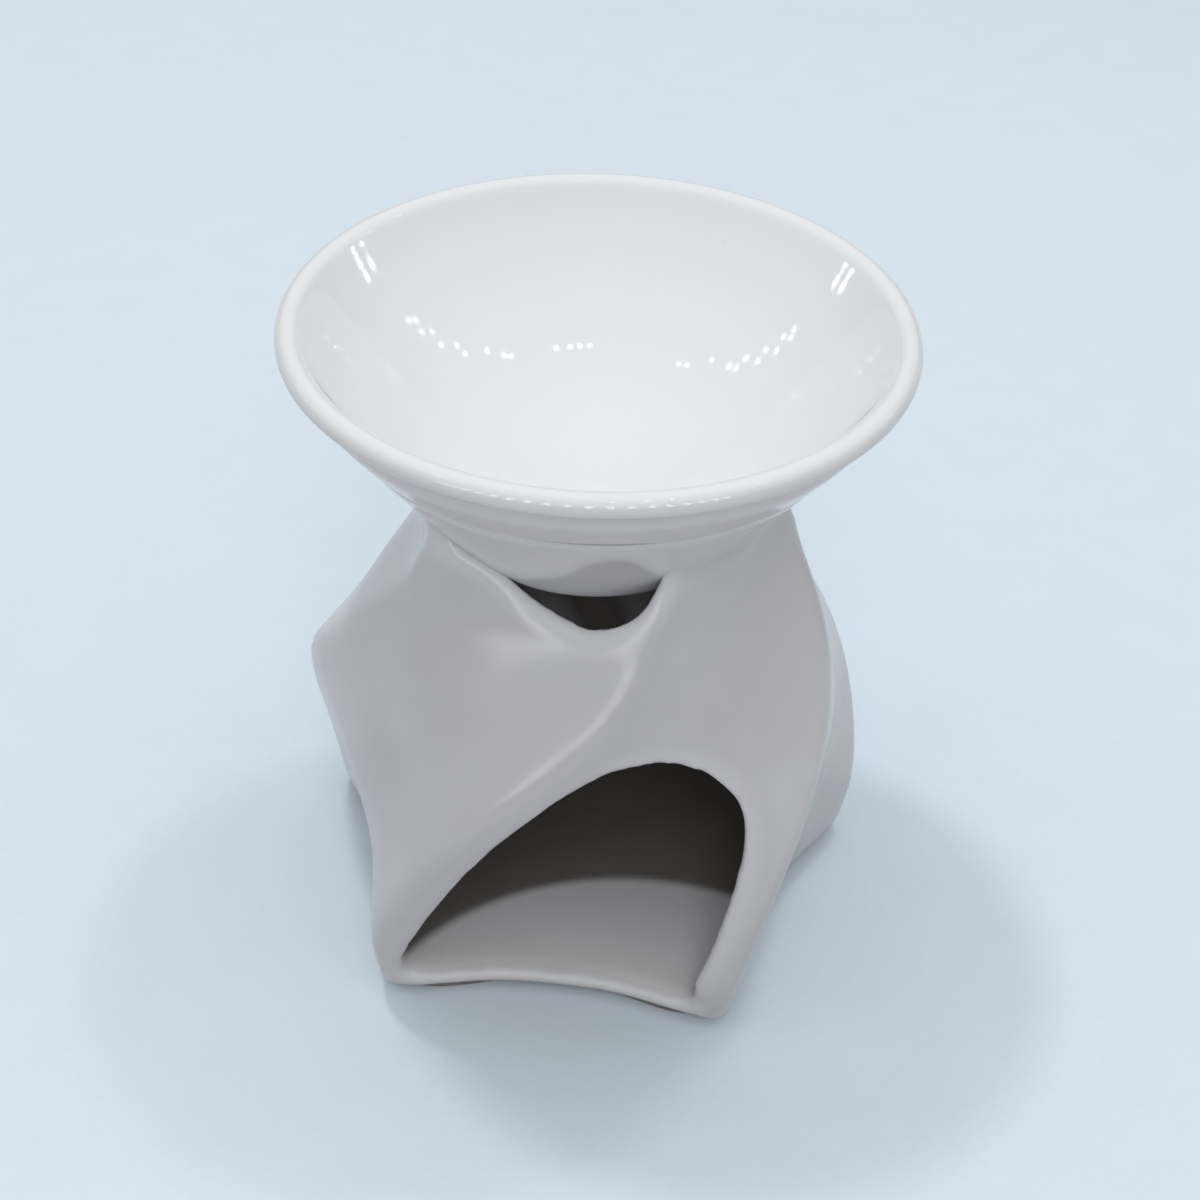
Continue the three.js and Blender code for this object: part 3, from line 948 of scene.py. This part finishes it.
def dish_finish(skin_group, tone_group):
    material, tree, shader = new_material("white_dish_glaze")
    skin = place_group(tree, skin_group, Wave_Height=DISH_WAVE_HEIGHT)
    height = height_above_foot(tree)
    edge = spread(tree, height, *(DISH_TOP - depth for depth in LIP_THIN_DEPTH), 0, LIP_THIN_SHARE)
    hollow = spread(tree, height, DISH_UNDERSIDE + DISH_WALL, DISH_UNDERSIDE + BOWL_POOL_HEIGHT,
                    BOWL_POOL_SHARE, 0)
    tone = place_group(tree, tone_group, Body=DISH_COLOR, Edge=edge, Hollow=hollow, Pits=skin.outputs["Pits"],
                       Cloud_Share=DISH_CLOUD_SHARE)
    tree.links.new(tone.outputs["Color"], shader.inputs["Base Color"])
    tree.links.new(tone.outputs["Roughness"], shader.inputs["Roughness"])
    raise_relief(tree, skin.outputs["Height"], shader)
    return material


def stand_finish(skin_group, tone_group):
    material, tree, shader = new_material("white_stand_glaze")
    skin = place_group(tree, skin_group, Wave_Size=STAND_WAVE_SIZE)
    height = height_above_foot(tree)
    neck = spread(tree, height, *NECK_POOL, 0, NECK_POOL_SHARE)
    pooled = work_out(tree, "MAXIMUM", neck, spread(tree, height, *FOOT_POOL, FOOT_POOL_SHARE, 0))
    # Lighter along the rims: thinner glaze there, and a painted highlight of the light the rounded edges
    # catch
    edge = work_out(tree, "MULTIPLY", own_attribute(tree, "rim"), RIM_THIN_GLAZE_AND_HIGHLIGHT_SHARE)
    satin = spread(tree, height, *SILL_TOP, SILL_GLOSS, STAND_GLOSS)
    # The chamber's floor is painted lighter, as a pool of light through the mouth
    body = blend_colors(tree, own_attribute(tree, "floor"), STAND_COLOR, CHAMBER_FLOOR_PAINTED_LIGHT_COLOR)
    tone = place_group(tree, tone_group, Body=body, Edge=edge, Hollow=pooled,
                       Pits=skin.outputs["Pits"], Gloss=satin)
    # Painted shade: the chamber's walls and the floor behind the arch's shadow are painted dark and mottled,
    # standing in for the shade inside
    painted_shade = own_attribute(tree, "painted_shade")
    mottled_painted_shade = blend_colors(tree, noise_of_size(tree, PAINTED_SHADE_MOTTLE_SIZE, 3.0), CHAMBER_PAINTED_SHADE_COLOR, CHAMBER_PAINTED_SHADE_MOTTLE_COLOR)
    color = blend_colors(tree, painted_shade, tone.outputs["Color"], mottled_painted_shade)
    tree.links.new(color, shader.inputs["Base Color"])
    matt = work_out(tree, "MULTIPLY", painted_shade, CHAMBER_ROUGHNESS)
    tree.links.new(work_out(tree, "ADD", tone.outputs["Roughness"], matt), shader.inputs["Roughness"])
    raise_relief(tree, skin.outputs["Height"], shader)
    return material


def clay_finish(grain_group):
    material, tree, shader = new_material("bare_clay")
    grain = place_group(tree, grain_group)
    color = blend_colors(tree, grain.outputs["Shade"], CLAY_DARK_COLOR, CLAY_LIGHT_COLOR)
    tree.links.new(color, shader.inputs["Base Color"])
    tree.links.new(spread(tree, grain.outputs["Shade"], 0, 1, *CLAY_ROUGHNESS), shader.inputs["Roughness"])
    raise_relief(tree, grain.outputs["Height"], shader)
    return material


def paper_finish(grain_group):
    """The floor's paper: the camera and the glaze see its pale blue, and it throws back less light."""
    material, tree, shader = new_material("floor_paper")
    shader.inputs["Roughness"].default_value = PAPER_ROUGHNESS
    shader.inputs["Specular IOR Level"].default_value = PAPER_SPECULAR
    rays = tree.nodes.new("ShaderNodeLightPath").outputs
    seen = work_out(tree, "MAXIMUM", rays["Is Camera Ray"], rays["Is Glossy Ray"])
    grain = place_group(tree, grain_group, Grain_Size=PAPER_GRAIN_SIZE, Patch_Size=PAPER_PATCH_SIZE,
                        Relief=PAPER_RELIEF)
    mottled = blend_colors(tree, grain.outputs["Shade"], FLOOR_COLOR, FLOOR_LIGHT_COLOR)
    tree.links.new(blend_colors(tree, seen, FLOOR_BOUNCE, mottled), shader.inputs["Base Color"])
    raise_relief(tree, grain.outputs["Height"], shader)
    return material


# Stage


def lay_floor(grain_group):
    deselect_all()
    bpy.ops.mesh.primitive_plane_add(size=FLOOR_SIZE, location=(0, 0, 0))
    floor = name_piece("floor")
    floor.data.materials.append(paper_finish(grain_group))
    keep_place(floor)


def add_area_light(name, place, aim, size, power):
    light = bpy.data.lights.new(name, "AREA")
    light.shape = "DISK"
    light.size = size
    light.energy = power
    lamp = bpy.data.objects.new(name, light)
    bpy.context.collection.objects.link(lamp)
    lamp.location = place
    lamp.rotation_euler = (Vector(aim) - Vector(place)).to_track_quat("-Z", "Y").to_euler()
    return lamp


def set_camera():
    data = bpy.data.cameras.new("camera")
    data.lens = CAMERA_LENS
    data.sensor_width = CAMERA_SENSOR
    camera = bpy.data.objects.new("camera", data)
    bpy.context.collection.objects.link(camera)
    tilt = math.radians(CAMERA_TILT)
    aim = Vector(CAMERA_AIM) * MM
    camera.location = aim + CAMERA_DISTANCE * MM * Vector((0, -math.cos(tilt), math.sin(tilt)))
    pitch = Matrix.Rotation(math.pi / 2 - tilt, 4, "X")
    roll = Matrix.Rotation(math.radians(CAMERA_ROLL), 4, "Z")
    camera.rotation_euler = (pitch @ roll).to_euler()
    bpy.context.scene.camera = camera


def spot_toward(direction, distance):
    """A point at a distance from the middle of the dish, in a direction given by azimuth and elevation."""
    azimuth, elevation = (math.radians(angle) for angle in direction)
    aim = Vector((0, 0, LAMP_AIM_HEIGHT * MM))
    level = math.cos(elevation)
    way = Vector((level * math.cos(azimuth), level * math.sin(azimuth), math.sin(elevation)))
    return aim + distance * way


def mirrored_spot(dish, spot):
    """The bowl's point at a spot of the picture, and the place whose light the glaze mirrors there."""
    camera = bpy.context.scene.camera
    half = camera.data.sensor_width / camera.data.lens / 2
    across, down = (2 * value / PICTURE_SIZE - 1 for value in spot)
    sight = (camera.matrix_world.to_3x3() @ Vector((across * half, -down * half, -1))).normalized()
    _, point, _, index = dish.ray_cast(camera.matrix_world.translation, sight)
    corners = [dish.data.vertices[k] for k in dish.data.polygons[index].vertices]
    shares = poly_3d_calc([corner.co for corner in corners], point)
    normal = sum((corner.normal * share for corner, share in zip(corners, shares)), Vector()).normalized()
    return point, point + LAMP_DISTANCE * sight.reflect(normal)


def add_glint_lamp(dish, name, spot):
    """A small lamp shaped and turned so that the bowl mirrors it as a round dot at a spot of the picture."""
    point, place = mirrored_spot(dish, spot)
    half = GLINT_WIDTH / 2
    right = mirrored_spot(dish, (spot[0] + half, spot[1]))[1] - place
    down = mirrored_spot(dish, (spot[0], spot[1] + half))[1] - place
    turn = math.atan2(2 * right.dot(down), right.length_squared - down.length_squared) / 2
    long = right * math.cos(turn) + down * math.sin(turn)
    short = down * math.cos(turn) - right * math.sin(turn)
    back = (place - point).normalized()
    side = (long - back * long.dot(back)).normalized()
    reach, narrow = (min(axis.length, GLINT_LAMP_LIMIT) for axis in (long, short))
    lamp = add_area_light(name, place, point, 2 * reach, GLINT_STRENGTH * math.pi**2 * reach * narrow)
    lamp.data.shape = "ELLIPSE"
    lamp.data.size_y = 2 * narrow
    lamp.rotation_euler = Matrix((side, back.cross(side), back)).transposed().to_euler()
    lamp.visible_diffuse = False


def fill_tent():
    """A white tent, brighter overhead and a little brighter at its two sides."""
    world = bpy.data.worlds.new("tent")
    bpy.context.scene.world = world
    world.use_nodes = True
    tree = world.node_tree
    split = tree.nodes.new("ShaderNodeSeparateXYZ")
    tree.links.new(tree.nodes.new("ShaderNodeTexCoord").outputs["Generated"], split.inputs[0])
    rise = tree.nodes.new("ShaderNodeMapRange")
    rise.inputs["To Min"].default_value = TENT_HORIZON
    rise.inputs["To Max"].default_value = TENT_ZENITH
    tree.links.new(split.outputs["Z"], rise.inputs["Value"])
    sides = work_out(tree, "POWER", work_out(tree, "ABSOLUTE", split.outputs["X"]), 2)
    glow = work_out(tree, "MULTIPLY", sides, TENT_SIDES)
    background = tree.nodes["Background"]
    color = blend_colors(tree, rise.outputs["Result"], TENT_LOW_COLOR, TENT_HIGH_COLOR)
    tree.links.new(color, background.inputs["Color"])
    tree.links.new(work_out(tree, "ADD", rise.outputs["Result"], glow), background.inputs["Strength"])


def light_room(dish):
    """The tent, four hidden soft lamps that shape the shadows, and rows of small lamps that glint."""
    bpy.context.scene.view_settings.view_transform = "Standard"
    fill_tent()
    aim = (0, 0, LAMP_AIM_HEIGHT * MM)
    for name, direction, size, share in SOFT_LAMPS:
        place = spot_toward(direction, SOFT_LAMP_DISTANCE)
        sine = math.sin(math.radians(direction[1]))
        power = share * math.pi**2 * SOFT_LAMP_DISTANCE**2 / sine
        lamp = add_area_light(name, place, aim, size, power)
        lamp.visible_glossy = False
    bpy.context.view_layer.update()
    for k, spot in enumerate(BOWL_GLINTS):
        add_glint_lamp(dish, f"bowl_glint_lamp_{k}", spot)
    for k in range(FRONT_LAMPS):
        share = k / (FRONT_LAMPS - 1)
        place = Vector(FRONT_BAR_LEFT).lerp(Vector(FRONT_BAR_RIGHT), share)
        power = FRONT_LAMP_STRENGTH * math.pi**2 * FRONT_LAMP_WIDTH * FRONT_LAMP_HEIGHT / 4
        lamp = add_area_light(f"front_bar_lamp_{k}", place, aim, FRONT_LAMP_WIDTH, power)
        lamp.data.shape = "ELLIPSE"
        lamp.data.size_y = FRONT_LAMP_HEIGHT
        lamp.visible_diffuse = False


def main():
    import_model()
    set_camera()
    dish = turn_wax_dish()
    stand = cast_twisted_stand()
    foot = cut_foot()
    skin, tone, grain = build_glaze_skin(), build_glaze_tone(), build_grain()
    for piece, nodes, slot, finish in (
        (dish, ("wax_dish",), "dish_glaze", dish_finish(skin, tone)),
        (stand, ("twisted_stand", "front_slip_seam", "rear_slip_seam"), "stand_glaze",
         stand_finish(skin, tone)),
        (foot, ("floor_plate",), "floor_glaze", clay_finish(grain)),
    ):
        piece.data.materials.clear()
        piece.data.materials.append(finish)
        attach(piece, "root")
        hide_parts(*nodes)
    lay_floor(grain)
    light_room(dish)


main()
